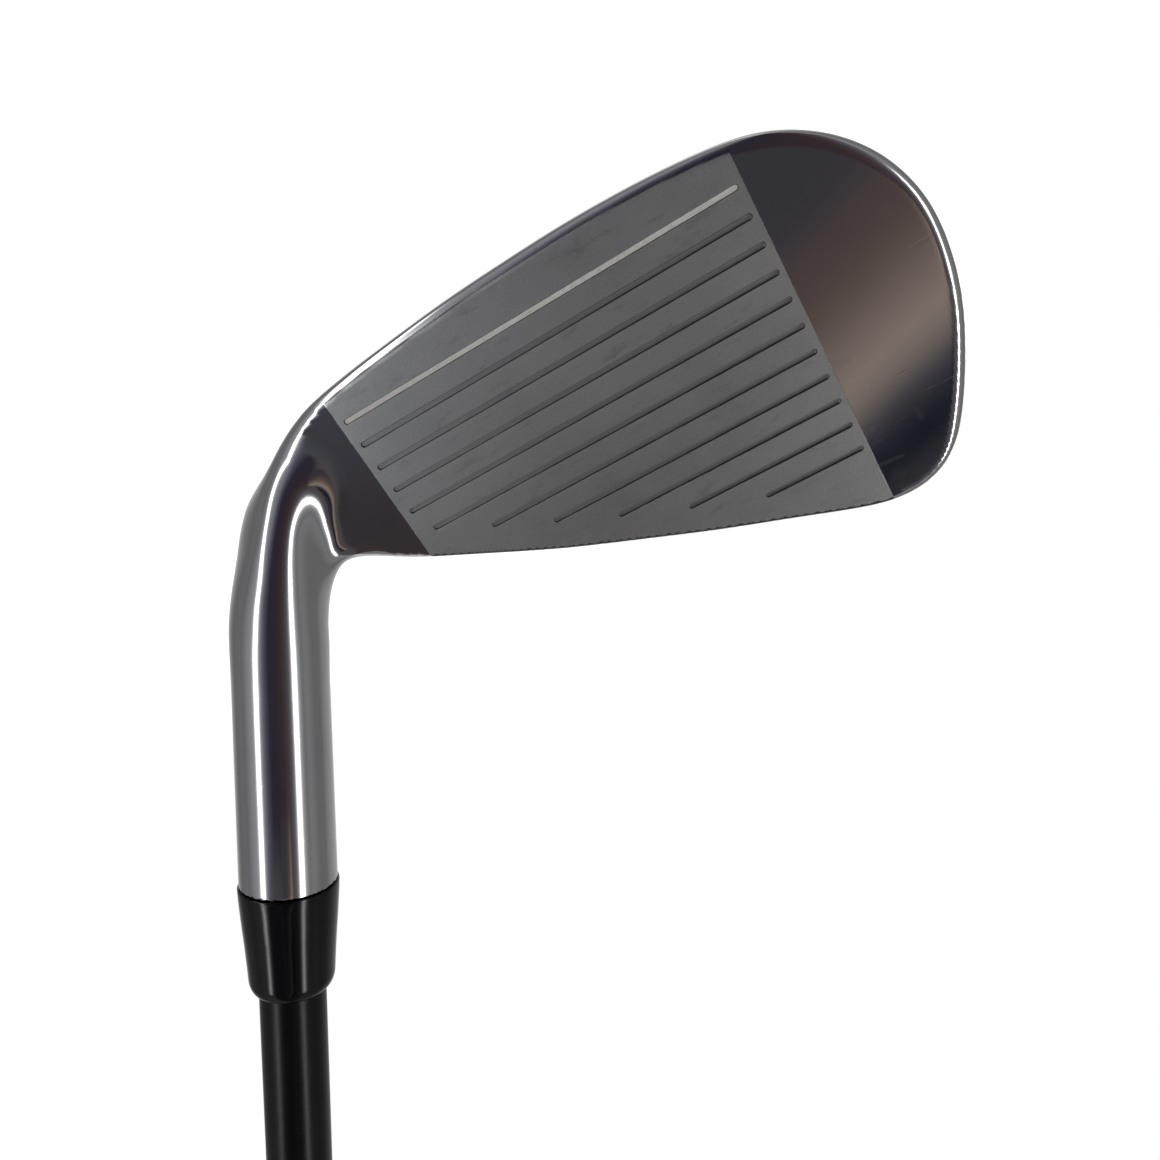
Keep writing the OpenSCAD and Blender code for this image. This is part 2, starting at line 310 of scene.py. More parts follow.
def surface(field, lo, hi, h, iters=3, C=4):
    """Quads of the surface field = 0: coarse samples first, fine ones only near the surface"""
    n = [int(np.ceil((hi[i] - lo[i]) / (h * C))) for i in range(3)]
    H = h * C
    cx = [lo[i] + H * np.arange(n[i] + 1) for i in range(3)]
    X, Y, Z = np.meshgrid(*cx, indexing="ij")
    Vc = field(np.stack([X, Y, Z], -1))
    nf = [n[i] * C + 1 for i in range(3)]

    def up(A, ax, m):
        A = np.moveaxis(A, ax, 0)
        idx = np.arange(m) / C
        i = np.minimum(np.floor(idx).astype(int), A.shape[0] - 2)
        f = (idx - i).reshape(-1, *([1] * (A.ndim - 1)))
        return np.moveaxis(A[i] * (1 - f) + A[i + 1] * f, 0, ax)
    V = up(up(up(Vc, 0, nf[0]), 1, nf[1]), 2, nf[2]).astype(np.float32)
    near = np.argwhere(np.abs(V) < 1.35 * H)
    pts = near * h + np.array(lo)
    val = np.empty(len(pts), np.float32)
    for i in range(0, len(pts), 60000):
        val[i:i + 60000] = field(pts[i:i + 60000])
    V[near[:, 0], near[:, 1], near[:, 2]] = val
    S = V < 0
    nx, ny, nz = S.shape
    tot = np.zeros((nx - 1, ny - 1, nz - 1), np.int8)
    for a in (0, 1):
        for b in (0, 1):
            for d in (0, 1):
                tot += S[a:nx - 1 + a, b:ny - 1 + b, d:nz - 1 + d]
    act = (tot > 0) & (tot < 8)
    idx = -np.ones(act.shape, np.int64)
    ii = np.argwhere(act)
    idx[act] = np.arange(len(ii))
    acc = np.zeros((len(ii), 3))
    cnt = np.zeros(len(ii))
    for ca in [(a, b, d) for a in (0, 1) for b in (0, 1) for d in (0, 1)]:
        for ax in range(3):
            if ca[ax] == 1:
                continue
            cb = list(ca)
            cb[ax] = 1
            va = V[ii[:, 0] + ca[0], ii[:, 1] + ca[1], ii[:, 2] + ca[2]]
            vb = V[ii[:, 0] + cb[0], ii[:, 1] + cb[1], ii[:, 2] + cb[2]]
            m = (va < 0) != (vb < 0)
            t = np.where(m, va / (va - vb + 1e-20), 0)
            p = np.tile(np.array(ca, float), (len(ii), 1))
            p[:, ax] += t
            acc[m] += p[m]
            cnt[m] += 1
    v = (ii + acc / np.maximum(cnt, 1)[:, None]) * h + np.array(lo)
    quads = []
    for ax in range(3):
        b, c2 = [(1, 2), (2, 0), (0, 1)][ax]
        sl0 = [slice(1, -1)] * 3
        sl0[ax] = slice(0, -1)
        A = S[tuple(sl0)]
        sl1 = list(sl0)
        sl1[ax] = slice(1, None)
        B = S[tuple(sl1)]
        e = np.argwhere(A != B)
        off = np.array([1, 1, 1])
        off[ax] = 0
        e = e + off
        inside = S[e[:, 0], e[:, 1], e[:, 2]]
        q = []
        for (p, r) in ((1, 1), (0, 1), (0, 0), (1, 0)):
            cell = e.copy()
            cell[:, b] -= p
            cell[:, c2] -= r
            q.append(idx[cell[:, 0], cell[:, 1], cell[:, 2]])
        q = np.stack(q, 1)
        q[~inside] = q[~inside][:, ::-1]
        quads.append(q)
    quads = np.vstack(quads)
    for _ in range(iters):
        f = field(v)
        g = gradient(field, v)
        n2 = np.maximum((g ** 2).sum(1), 0.05)
        v = v - np.clip(f / n2, -0.3 * h, 0.3 * h)[:, None] * g
    return v, quads, gradient(field, v)


def unit(v):
    return v / (np.linalg.norm(v, axis=1)[:, None] + 1e-9)


# ------------------------------------------------------------ mesh helpers
def make_mesh(name, verts_mm, faces, loop_normals=None, sharp=None):
    """verts in club axes, mm; faces as index lists; loop normals in the same order"""
    me = bpy.data.meshes.new(name)
    me.from_pydata((np.asarray(verts_mm, float) * MM).tolist(), [], [list(map(int, f)) for f in faces])
    me.update()
    me.polygons.foreach_set("use_smooth", [True] * len(me.polygons))
    if loop_normals is not None:
        me.normals_split_custom_set(np.asarray(loop_normals, float).tolist())
    elif sharp is not None:
        me.set_sharp_from_angle(angle=radians(sharp))
    ob = bpy.data.objects.new(name, me)
    bpy.context.scene.collection.objects.link(ob)
    return ob


def on_axis(s, r, th):
    """a point at distance s up the shaft axis, radius r, angle th"""
    s, r, th = np.broadcast_arrays(s, r, th)
    return s[..., None] * AX + (r * np.cos(th))[..., None] * EX + (r * np.sin(th))[..., None] * np.array([0, 1.0, 0])


def lathe(name, prof, seg, closed=True, sharp=35):
    """turns the (radius, s) profile about the shaft axis; the profile runs up the outside and down the inside"""
    prof = np.array(prof, float)
    m = len(prof)
    th = np.arange(seg) * 2 * pi / seg
    V = on_axis(prof[:, 1][:, None], prof[:, 0][:, None], th[None, :]).reshape(-1, 3)
    F = []
    for i in range(m if closed else m - 1):
        j = (i + 1) % m
        for k in range(seg):
            k2 = (k + 1) % seg
            F.append([i * seg + k, i * seg + k2, j * seg + k2, j * seg + k])
    return make_mesh(name, V, F, sharp=sharp)


def ring_out(P, off):
    """offsets a closed 2-D outline inwards by off (anticlockwise outline)"""
    T = np.roll(P, -1, 0) - np.roll(P, 1, 0)
    T /= np.linalg.norm(T, axis=1)[:, None] + 1e-9
    N = np.stack([-T[:, 1], T[:, 0]], 1)
    return P + N * off


def area2(P):
    return 0.5 * np.sum(P[:, 0] * np.roll(P[:, 1], -1) - np.roll(P[:, 0], -1) * P[:, 1])


def loft_rings(name, rings, cap0=True, cap1=True, sharp=35):
    """rings of equal length, each an (n, 3) array in face axes"""
    n = len(rings[0])
    V = np.vstack(rings)
    F = []
    for i in range(len(rings) - 1):
        for k in range(n):
            k2 = (k + 1) % n
            F.append([i * n + k, (i + 1) * n + k, (i + 1) * n + k2, i * n + k2])
    if cap0:
        F.append(list(range(n)))
    if cap1:
        F.append([(len(rings) - 1) * n + k for k in reversed(range(n))])
    return make_mesh(name, to_club(V), F, sharp=sharp)


def plate(name, outline, y0, y1, bev=0.35, sharp=35):
    """a flat plate from y0 (front) to y1 (back), with its back edge bevelled"""
    P = outline if area2(outline) > 0 else outline[::-1]
    rings = [np.c_[P[:, 0], np.full(len(P), y0), P[:, 1]]]
    for k in range(5):
        a = k / 4 * pi / 2
        Q = ring_out(P, bev * (1 - cos(a)))
        rings.append(np.c_[Q[:, 0], np.full(len(P), y1 + bev * (1 - sin(a))), Q[:, 1]])
    return loft_rings(name, rings, sharp=sharp)


# -------------------------------------------------------------- head mesh
H_STEP = 0.5
hv, hq, hg = surface(head_field, (-46, -21, -11), (79, 28, 56), H_STEP)
hn = hg / (np.linalg.norm(hg, axis=1)[:, None] + 1e-9)
flat = (np.abs(hv[:, 1]) < 0.004) & (hn[:, 1] > 0.99999)
hv[flat, 1] = 0.0
hn[flat] = (0, 1, 0)

# over the neck, where the swept pieces meet, the normals come from a wider neighbourhood
s_at = to_club(hv) @ AX
wide = sstep(8, -2, hv[:, 0]) * sstep(47, 43, s_at)
zone = (wide > 0.001) & (~flat)
gw = sum(unit(gradient(head_field, hv[zone], e)) for e in (0.8, 1.7, 2.6))
gw /= np.linalg.norm(gw, axis=1)[:, None] + 1e-9
mixn = hn[zone] * (1 - wide[zone, None]) + gw * wide[zone, None]
hn[zone] = mixn / (np.linalg.norm(mixn, axis=1)[:, None] + 1e-9)
# and along the lower hosel they are averaged up and down the shaft's direction
AF = to_face(AX) - to_face(AX * 0.0)
run = sstep(23, 30, s_at) * sstep(52, 45, s_at)
rr_at = np.linalg.norm(to_club(hv) - s_at[:, None] * AX, axis=1)
zone = (run > 0.001) & (rr_at > 5.7) & (hv[:, 0] < -6)
ga = sum(k * unit(gradient(head_field, hv[zone] + AF * d, 0.5)) for d, k in ((-6, .5), (-4, .8), (-2, 1), (0, 1), (2, 1), (4, .8), (6, .5)))
hn[zone] = unit(hn[zone] * (1 - run[zone, None]) + unit(ga) * run[zone, None])

# the edge of the face rolls over softly, so its normals are taken over a little more than the mesh step
roll = (hv[:, 1] > -2.3) & (hv[:, 0] > -1.0) & ~(flat & (hv[:, 0] < 59.2))
gr = sum(unit(gradient(head_field, hv[roll], e)) for e in (0.35, 0.6, 0.9))
hn[roll] = unit(gr)

SC_PITCH, SC_D, SC_X1 = 3.6, 0.45, 57.0
SC_HEEL = [1.2, 1.2, 1.2, 1.2, 1.2, 2.6, 9.7, 17.3, 25.2, 33.8, 43.3]


def stadium(x0, x1, z, r, y, nb=11):
    """closed outline of a groove: half width r about the line x0..x1, with round ends"""
    a = np.linspace(-pi / 2, pi / 2, nb)
    xs = np.linspace(x0, x1, 40)[1:-1]
    right = np.c_[x1 + r * np.cos(a), np.full(nb, y), z + r * np.sin(a)]
    top = np.c_[xs[::-1], np.full(len(xs), y), np.full(len(xs), z + r)]
    left = np.c_[x0 - r * np.cos(a), np.full(nb, y), z - r * np.sin(a)]
    bot = np.c_[xs, np.full(len(xs), y), np.full(len(xs), z - r)]
    return np.vstack([right, top, left, bot])


# replace the flat middle of the face by one with the score lines cut in
fq = flat[hq].all(1) & (hv[hq][:, :, 0].min(1) > 0.25) & (hv[hq][:, :, 0].max(1) < 58.6) & (hv[hq][:, :, 2].min(1) > -2.2)
ed = np.concatenate([np.stack([hq[fq][:, k], hq[fq][:, (k + 1) % 4]], 1) for k in range(4)])
es = set(map(tuple, ed.tolist()))
rim = [e for e in es if (e[1], e[0]) not in es]
rim_v = sorted({v for e in rim for v in e})
loc = {v: i for i, v in enumerate(rim_v)}
pts2 = [Vector((hv[v, 0], hv[v, 2])) for v in rim_v]
cons = [(loc[a], loc[b]) for a, b in rim]
GR_R = [0.425, 0.405, 0.375, 0.33, 0.29, 0.255]
GR_Y = [0.0, -0.02, -0.10, -0.30, -0.41, -0.45]
verts = [hv]
faces = hq[~fq].tolist()
norms = hn[hq[~fq]].reshape(-1, 3).tolist()
base = len(hv)
top_ring = []
for i, x0 in enumerate(SC_HEEL):
    rings = [stadium(x0 + 0.425, SC_X1 - 0.425, i * SC_PITCH, r, y) for r, y in zip(GR_R, GR_Y)]
    n = len(rings[0])
    start = len(pts2)
    pts2 += [Vector((p[0], p[2])) for p in rings[0]]
    cons += [(start + k, start + (k + 1) % n) for k in range(n)]
    verts += rings
    top_ring += list(range(base, base + n))
    xa, xb = x0 + 0.425, SC_X1 - 0.425
    mid = np.c_[np.clip(rings[0][:, 0], xa, xb), np.full(n, i * SC_PITCH)]
    rad = rings[0][:, [0, 2]] - mid
    rad /= np.linalg.norm(rad, axis=1)[:, None]
    seg_n = []
    for k in range(len(GR_R) - 1):
        dr, dy = GR_R[k + 1] - GR_R[k], GR_Y[k + 1] - GR_Y[k]
        v = np.c_[dy * rad[:, 0], np.full(n, -dr), dy * rad[:, 1]]
        seg_n.append(v / np.linalg.norm(v, axis=1)[:, None])
    for k in range(len(GR_R) - 1):
        up_n = seg_n[k] + (seg_n[k - 1] if k > 0 else 0)
        dn_n = seg_n[k] + (seg_n[k + 1] if k < len(GR_R) - 2 else np.array([0, 1.0, 0]))
        up_n = up_n / np.linalg.norm(up_n, axis=1)[:, None]
        dn_n = dn_n / np.linalg.norm(dn_n, axis=1)[:, None]
        a0, b0 = base + k * n, base + (k + 1) * n
        for m in range(n):
            m2 = (m + 1) % n
            faces.append([a0 + m, b0 + m, b0 + m2, a0 + m2])
            norms += [up_n[m], dn_n[m], dn_n[m2], up_n[m2]]
    last = base + (len(GR_R) - 1) * n
    faces.append([last + n - 1 - m for m in range(n)])
    norms += [(0, 1.0, 0)] * n
    base += len(GR_R) * n
glob = rim_v + top_ring
tv, te, tf, ov, oe, of_ = delaunay_2d_cdt(pts2, cons, [], 0, 1e-6, True)
gmap = [glob[o[0]] for o in ov]
T = np.array([list(f) for f in tf])
C2 = np.array([list(v) for v in tv])[T].mean(1)
rim_xy = {}
inside = np.zeros(len(T), bool)
for a, b in rim:
    pa, pb = hv[a, [0, 2]], hv[b, [0, 2]]
    c = (pa[1] > C2[:, 1]) != (pb[1] > C2[:, 1])
    if pa[1] != pb[1]:
        inside ^= c & (C2[:, 0] < pa[0] + (C2[:, 1] - pa[1]) * (pb[0] - pa[0]) / (pb[1] - pa[1]))
for i, x0 in enumerate(SC_HEEL):
    d = np.hypot(C2[:, 0] - np.clip(C2[:, 0], x0 + 0.425, SC_X1 - 0.425), C2[:, 1] - i * SC_PITCH)
    inside &= d > 0.424
allv = np.vstack(verts)
for t in T[inside]:
    f = [gmap[k] for k in t]
    p = allv[f]
    cr = (p[1, 2] - p[0, 2]) * (p[2, 0] - p[0, 0]) - (p[1, 0] - p[0, 0]) * (p[2, 2] - p[0, 2])
    if cr < 0:
        f = f[::-1]
    faces.append(f)
    norms += [(0, 1.0, 0)] * 3
used = np.zeros(len(allv), bool)
for f in faces:
    used[list(f)] = True
newi = np.cumsum(used) - 1
faces = [[int(newi[k]) for k in f] for f in faces]
head = make_mesh("head_forging", to_club(allv[used]), faces, dir_club(np.array(norms, float)))

# --------------------------------------------------- paint in the lowest line
rng = np.random.default_rng(7)
px0, px1 = 1.2 + 0.425, 57.0 - 0.425
prs = []
for r, y in ((0.24, -0.42), (0.33, -0.19), (0.30, -0.165), (0.20, -0.19), (0.09, -0.205)):
    prs.append(stadium(px0, px1, 0.0, r, y))
wob = 0.012 * np.sin(prs[0][:, 0] * 1.3) + 0.010 * np.sin(prs[0][:, 0] * 3.1 + 1.0)
for i in range(1, 5):
    prs[i][:, 1] += wob
paint = loft_rings("paint_line", [p[::-1] for p in prs], sharp=60)

# -------------------------------------------------------- ferrule and shaft
fer = [(4.78, 65.72), (6.95, 65.72), (7.02, 65.80), (7.045, 66.0), (7.04, 66.5), (7.02, 67.1), (6.97, 67.9),
       (6.92, 68.6), (6.86, 69.4), (6.79, 70.4), (6.67, 71.9), (6.54, 73.4), (6.42, 74.9), (6.31, 76.4),
       (6.20, 78.0), (6.13, 79.2), (6.08, 79.9), (5.99, 80.4), (5.82, 80.9), (5.58, 81.3), (5.28, 81.58),
       (4.95, 81.72), (4.78, 81.75)]
pf = curve(fer[1:-1], 4)
ferrule = lathe("ferrule_sleeve", [fer[0]] + pf.tolist() + [fer[-1]], 160, sharp=40)


def shaft_r(s):
    s = np.asarray(s, float)
    return np.where(s <= 165, 4.74, 4.74 + (7.6 - 4.74) * (s - 165) / (960 - 165))


ss = np.r_[36.7, np.linspace(40, 120, 24), np.linspace(124, 690, 90), np.linspace(700, 960, 30)]
so = [(float(shaft_r(s)), float(s)) for s in ss]
so[0] = (4.5, 36.7)
si = [(2.3, 960.0), (3.0, 700.0), (2.6, 300.0), (2.3, 80.0), (2.2, 36.7)]
si = [(6.3, 960.0), (5.2, 700.0), (3.3, 300.0), (2.25, 80.0), (2.2, 36.7)]
shaft = lathe("graphite_shaft", so + si, 128, sharp=40)

# --------------------------------------------------------------------- grip
G0, GL = CLUB - 267.0, 267.0


def grip_r(s):
    u = np.clip((s - G0) / GL, 0, 1)
    return 9.3 + 4.4 * u ** 1.35


def groove(d, w):
    """soft groove of half width w, from the distance d to its middle"""
    return np.exp(-(d / w) ** 4)


NS, NT = ((560, 168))
gs = np.r_[G0, G0 + 0.35, G0 + 0.9, np.linspace(G0 + 1.8, CLUB - 7.2, NS), CLUB - 6.6, CLUB - 6.0, CLUB - 5.4, CLUB - 5.0]
gt = np.arange(NT) * 2 * pi / NT
S2, T2 = np.meshgrid(gs, gt, indexing="ij")
R2 = grip_r(S2)
arc = T2 * 11.0
u = (S2 - G0)
# bands: fine rings at the mouth, a diamond tread, plain bands between, and a cord-like knurl at the top
dia = np.maximum(groove(((arc + S2) % 6.91) - 3.455, 0.42), groove(((arc - S2) % 6.91) - 3.455, 0.42))
sip = groove((arc % 3.4557) - 1.728, 0.28) * groove(((S2) % 9.0) - 4.5, 3.1)
ring = groove((S2 % 4.0) - 2.0, 0.45)
w1 = sstep(16, 18, u) * sstep(112, 110, u)
w2 = sstep(118, 120, u) * sstep(176, 174, u)
w3 = sstep(182, 184, u) * sstep(246, 244, u)
w0 = sstep(4, 5, u) * sstep(14, 13, u)
w4 = sstep(249, 250, u) * sstep(258, 257, u)
depth = 0.42 * dia * w1 + 0.45 * sip * w2 + 0.42 * dia * w3 + 0.35 * ring * (w0 + w4)
for c0 in (17.0, 115.0, 179.0, 247.5):
    depth = depth + 0.3 * groove(u - c0 + 0.0, 0.6)
R2 = R2 - depth
R2[0] = grip_r(G0) - 0.9
R2[1] = grip_r(G0) - 0.35
R2[2] = grip_r(G0) - 0.08
R2[-4] = grip_r(CLUB) - 0.05
R2[-3] = grip_r(CLUB) - 0.22
R2[-2] = grip_r(CLUB) - 0.5
R2[-1] = grip_r(CLUB) - 0.9
V = on_axis(S2, R2, T2)
inn_s = np.array([CLUB - 5.0, CLUB - 5.0, 850.0, G0 + 6, G0 + 6, G0])
inn_r = np.array([7.95, 7.92, float(shaft_r(850)) + 0.32, float(shaft_r(G0 + 6)) + 0.32, float(shaft_r(G0 + 6)) + 0.04, float(shaft_r(G0)) + 0.03])
V = np.concatenate([V, on_axis(inn_s[:, None], inn_r[:, None], gt[None, :])], 0)
m = V.shape[0]
F = []
I = np.arange(m)
J = (I + 1) % m
K = np.arange(NT)
K2 = (K + 1) % NT
F = np.stack([(I[:, None] * NT + K[None]), (I[:, None] * NT + K2[None]), (J[:, None] * NT + K2[None]), (J[:, None] * NT + K[None])], -1).reshape(-1, 4)
grip = make_mesh("grip_rubber_sleeve", V.reshape(-1, 3), F, sharp=50)

cr_ = 13.7
capp = [(2.3, 960.02), (cr_ - 0.9, 960.02), (cr_ - 0.45, 960.2), (cr_ - 0.3, 960.6), (cr_ - 0.42, 961.4), (cr_ - 0.8, 962.2),
        (cr_ - 1.5, 963.1), (cr_ - 2.5, 963.8), (cr_ - 3.6, 964.25), (cr_ - 4.0, 964.3), (cr_ - 4.25, 964.1), (cr_ - 4.5, 964.1),
        (cr_ - 4.8, 964.4), (cr_ - 6.0, 964.7), (cr_ - 7.8, 964.9), (4.4, 964.95), (4.2, 964.7), (3.9, 964.65), (3.6, 964.95),
        (2.9, 964.98), (2.5, 964.9), (2.3, 964.6)]
cap = lathe("grip_end_cap", capp, 144, sharp=30)

# ------------------------------------------------------- pieces in the cavity
BADGE = [[15, 13.4], [25, 12.6], [38, 12.4], [50, 12.8], [58, 14.4], [61.4, 18], [61.8, 22], [60, 26.5],
         [56.5, 29.4], [51, 29.6], [42, 27.6], [32, 25], [22, 21.6], [14.5, 18.6], [12.6, 16]]
bo = resample(smooth_closed(resample(curve(BADGE, 10, True), 0.4), 6), 0.6)
small = (bo - np.array([37.5, 20.0])) * np.array([0.94, 0.88]) + np.array([37.5, 20.0])
tape = plate("badge_adhesive", bo, -2.62, -2.9, 0.05)
backing = plate("badge_backing_rubber", bo, -2.9, -4.1, 0.3)


def badge_mesh():
    """the badge: a bevelled metal plate with a sunk field and raised ribs, on its back face"""
    P = small if area2(small) > 0 else small[::-1]
    ctr = np.array([38.0, 20.4])
    fr = [0.0, 0.0, 0.02, 0.05, 0.075, 0.085, 0.10, 0.115]
    yy = [-4.1, -4.92, -5.04, -5.1, -5.1, -5.06, -4.72, -4.68]
    off = [0, 0, 0.12, 0.35, 1.3, 1.42, 1.62, 1.9]
    rings = [np.c_[ring_out(P, o)[:, 0], np.full(len(P), y), ring_out(P, o)[:, 1]] for o, y in zip(off, yy)]
    inner = ring_out(P, 1.9)
    # inside the sunk field: concentric rings towards the middle line, with ribs
    nst = 34
    for k in range(1, nst + 1):
        t = k / nst
        line = np.c_[np.clip(inner[:, 0], 24, 52), 17.0 + (np.clip(inner[:, 0], 24, 52) - 24) * 0.155]
        Q = inner * (1 - t) + line * t
        w = (Q[:, 0] * 0.86 + Q[:, 1] * 0.5) % 3.2
        rib = np.clip(1.6 - 2.2 * np.abs(w - 1.6), 0, 1) * np.clip(min(t * 9, 1) * 1.0, 0, 1)
        y = -4.68 - 0.22 * rib
        rings.append(np.c_[Q[:, 0], y, Q[:, 1]])
    return loft_rings("cavity_badge_plate", rings, cap0=True, cap1=False, sharp=28)


badge = badge_mesh()


def rounded_bar(name, x0, x1, y0, y1, z0, z1, r):
    """a soft bar along x, with rounded edges and a lightly waved upper face"""
    xs = np.r_[x0, x0 + r * 0.3, x0 + r, np.linspace(x0 + 2 * r, x1 - 2 * r, 90), x1 - r, x1 - r * 0.3, x1]
    sc = np.r_[0.82, 0.94, 1.0, np.ones(90), 1.0, 0.94, 0.82]
    yc, zc = (y0 + y1) / 2, (z0 + z1) / 2
    hy, hz = (y1 - y0) / 2, (z1 - z0) / 2
    sec = []
    for (cy, cz, a0) in ((hy - r, hz - r, 0), (-hy + r, hz - r, 90), (-hy + r, -hz + r, 180), (hy - r, -hz + r, 270)):
        for k in range(7):
            a = radians(a0 + 90 * k / 6)
            sec.append((cy + r * cos(a), cz + r * sin(a)))
    sec = np.array(sec)
    rings = []
    for x, s in zip(xs, sc):
        q = sec * s
        top = np.clip((q[:, 1] - hz * 0.6) / (hz * 0.4), 0, 1)
        z = zc + q[:, 1] - top * 0.22 * (0.5 + 0.5 * np.cos((x - x0) * 2 * pi / 5.0))
        rings.append(np.c_[np.full(len(sec), x), yc + q[:, 0], z])
    return loft_rings(name, rings, sharp=50)


damper = rounded_bar("damper_bar", 12.02, 57.98, -9.15, -4.05, 4.45, 9.78, 0.7)


def weight_mesh():
    """the toe weight: a plug with a chamfered rim and a hexagonal key recess"""
    n = 144
    a = np.arange(n) * 2 * pi / n
    c = np.array([63.0, 5.6])

    def circ(r, y):
        return np.c_[c[0] + r * np.cos(a), np.full(n, y), c[1] + r * np.sin(a)]

    def hexa(r, y):
        k = (a % (pi / 3)) - pi / 6
        q = r * cos(pi / 6) / np.cos(k)
        return np.c_[c[0] + q * np.cos(a), np.full(n, y), c[1] + q * np.sin(a)]
    rings = [circ(4.45, -8.62), circ(4.45, -16.0), circ(4.40, -16.2), circ(4.22, -16.42), circ(4.05, -16.46),
             circ(3.9, -16.35), circ(3.7, -16.35), circ(3.55, -16.46), circ(3.2, -16.52), circ(2.9, -16.52), hexa(2.4, -16.48),
             hexa(2.2, -16.3), hexa(2.16, -14.7), circ(1.3, -14.5), circ(0.6, -14.3), circ(0.1, -14.2)]
    # machined flush with the sole and the back
    for i, r in enumerate(rings):
        for _ in range(3):
            r = r - unit(gradient(blade_field, r, 0.1)) * np.maximum(blade_field(r) + 0.05, 0.0)[:, None]
        rings[i] = r
    return loft_rings("toe_weight_plug", rings, sharp=30)


weight = weight_mesh()

# --------------------------------------------------------------- materials
class Tree:
    """short forms for building a node tree"""

    def __init__(s, nt):
        s.nt = nt

    def put(s, sock, v):
        if isinstance(v, bpy.types.NodeSocket):
            s.nt.links.new(v, sock)
        elif v is not None:
            sock.default_value = v

    def node(s, kind, **kw):
        n = s.nt.nodes.new(kind)
        for k, v in kw.items():
            setattr(n, k, v)
        return n

    def math(s, op, a, b=None, c=None, clamp=False):
        n = s.node("ShaderNodeMath", operation=op, use_clamp=clamp)
        s.put(n.inputs[0], a)
        s.put(n.inputs[1], b)
        if c is not None:
            s.put(n.inputs[2], c)
        return n.outputs[0]

    def vmath(s, op, a, b=None):
        n = s.node("ShaderNodeVectorMath", operation=op)
        s.put(n.inputs[0], a)
        s.put(n.inputs[1], b)
        return n.outputs["Value"] if op in ("DOT_PRODUCT", "LENGTH", "DISTANCE") else n.outputs["Vector"]

    def sm(s, x, e0, e1, lo=0.0, hi=1.0):
        n = s.node("ShaderNodeMapRange", interpolation_type="SMOOTHSTEP")
        s.put(n.inputs["Value"], x)
        s.put(n.inputs["From Min"], e0)
        s.put(n.inputs["From Max"], e1)
        s.put(n.inputs["To Min"], lo)
        s.put(n.inputs["To Max"], hi)
        return n.outputs["Result"]

    def lin(s, x, e0, e1, lo=0.0, hi=1.0):
        n = s.node("ShaderNodeMapRange", interpolation_type="LINEAR", clamp=True)
        s.put(n.inputs["Value"], x)
        s.put(n.inputs["From Min"], e0)
        s.put(n.inputs["From Max"], e1)
        s.put(n.inputs["To Min"], lo)
        s.put(n.inputs["To Max"], hi)
        return n.outputs["Result"]

    def mix(s, fac, a, b):
        n = s.node("ShaderNodeMix", data_type="RGBA")
        s.put(n.inputs[0], fac)
        s.put(n.inputs[6], a)
        s.put(n.inputs[7], b)
        return n.outputs[2]

    def fmix(s, fac, a, b):
        n = s.node("ShaderNodeMix", data_type="FLOAT")
        s.put(n.inputs[0], fac)
        s.put(n.inputs[2], a)
        s.put(n.inputs[3], b)
        return n.outputs[0]

    def ramp(s, fac, stops, mode="LINEAR"):
        n = s.node("ShaderNodeValToRGB")
        n.color_ramp.interpolation = mode
        el = n.color_ramp.elements
        while len(el) < len(stops):
            el.new(0.5)
        for e, (p, c) in zip(el, stops):
            e.position = p
            e.color = (*c, 1.0) if len(c) == 3 else c
        s.put(n.inputs[0], fac)
        return n.outputs[0]

    def noise(s, vec, scale, detail=3.0, rough=0.55, dist=0.0):
        n = s.node("ShaderNodeTexNoise")
        s.put(n.inputs["Vector"], vec)
        s.put(n.inputs["Scale"], scale)
        s.put(n.inputs["Detail"], detail)
        s.put(n.inputs["Roughness"], rough)
        s.put(n.inputs["Distortion"], dist)
        return n.outputs[0]

    def voronoi(s, vec, scale, feature="F1", out="Distance"):
        n = s.node("ShaderNodeTexVoronoi", feature=feature)
        s.put(n.inputs["Vector"], vec)
        s.put(n.inputs["Scale"], scale)
        return n.outputs[out]

    def mapping(s, vec, loc=(0, 0, 0), rot=(0, 0, 0), scale=(1, 1, 1)):
        n = s.node("ShaderNodeMapping")
        s.put(n.inputs["Vector"], vec)
        s.put(n.inputs["Location"], loc)
        s.put(n.inputs["Rotation"], rot)
        s.put(n.inputs["Scale"], scale)
        return n.outputs[0]

    def bump(s, h, strength, dist, normal=None):
        n = s.node("ShaderNodeBump")
        s.put(n.inputs["Height"], h)
        s.put(n.inputs["Strength"], strength)
        s.put(n.inputs["Distance"], dist)
        if normal is not None:
            s.put(n.inputs["Normal"], normal)
        return n.outputs[0]


R_FACE = Matrix.Rotation(-LOFT, 3, "X")
LOC_FACE = tuple(-(R_FACE @ Vector(F0.tolist())))
# rows of the rotation that brings the shaft axis to z
R_AX = Matrix(((EX[0], EX[1], EX[2]), (0, 1, 0), (AX[0], AX[1], AX[2])))
E_AX = tuple(R_AX.to_euler("XYZ"))


def new_mat(name):
    m = bpy.data.materials.new(name)
    m.use_nodes = True
    nt = m.node_tree
    nt.nodes.clear()
    t = Tree(nt)
    out = t.node("ShaderNodeOutputMaterial")
    b = t.node("ShaderNodeBsdfPrincipled")
    nt.links.new(b.outputs[0], out.inputs[0])
    o = t.node("ShaderNodeTexCoord").outputs["Object"]
    t.face = t.mapping(o, LOC_FACE, (-LOFT, 0, 0), (1000, 1000, 1000))
    t.axis = t.mapping(o, (0, 0, 0), E_AX, (1000, 1000, 1000))
    t.obj = t.mapping(o, scale=(1000, 1000, 1000))
    return m, t, b


